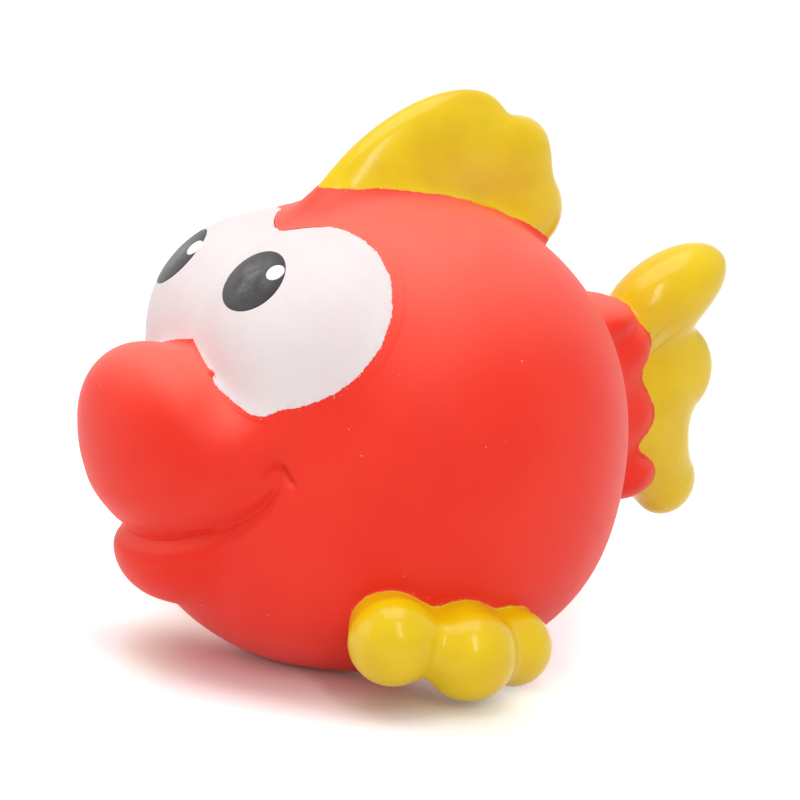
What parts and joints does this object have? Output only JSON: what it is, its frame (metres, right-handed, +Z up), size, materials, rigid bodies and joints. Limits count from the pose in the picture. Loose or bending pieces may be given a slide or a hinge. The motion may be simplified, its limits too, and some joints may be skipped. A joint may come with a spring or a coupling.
{
  "type": "squeaky bath toy",
  "caption": "Hollow soft vinyl cartoon fish with big painted eyes, a bulbous nose, yellow fins, a flat belly to rest on and a press-in squeaker below.",
  "frame": {"origin": "middle of the bounding box's underside, on the floor the toy rests on", "axes": "+Y from nose to tail, so the fish looks along -Y; +X the fish's left side; +Z up"},
  "size_m": [0.0718, 0.0899, 0.0663],
  "materials": {
    "red_vinyl": "satin",
    "yellow_paint": "satin",
    "white_paint": "matte",
    "dark_paint": "satin",
    "squeaker_plastic": "satin"
  },
  "bodies": {
    "toy": {"body_shell": "red_vinyl", "eye_whites": "white_paint", "left_pupil": "dark_paint", "right_pupil": "dark_paint", "left_glint": "white_paint", "right_glint": "white_paint", "dorsal_fin": "yellow_paint", "tail_fin": "yellow_paint", "left_pectoral_fin": "yellow_paint", "right_pectoral_fin": "yellow_paint", "squeaker_plug": "squeaker_plastic", "reed_seat": "squeaker_plastic", "reed_wedge": "squeaker_plastic"},
    "reed_body": {"reed": "squeaker_plastic"}
  },
  "joints": [
    {"name": "reed_flex", "type": "hinge", "parent": "toy", "child": "reed_body", "pos_m": [0, -0.00528, 0.0139], "axis": [1, 0, 0], "range_deg": [-1.4, 2.8], "stiffness_Nm_per_rad": 0.00002}
  ]
}
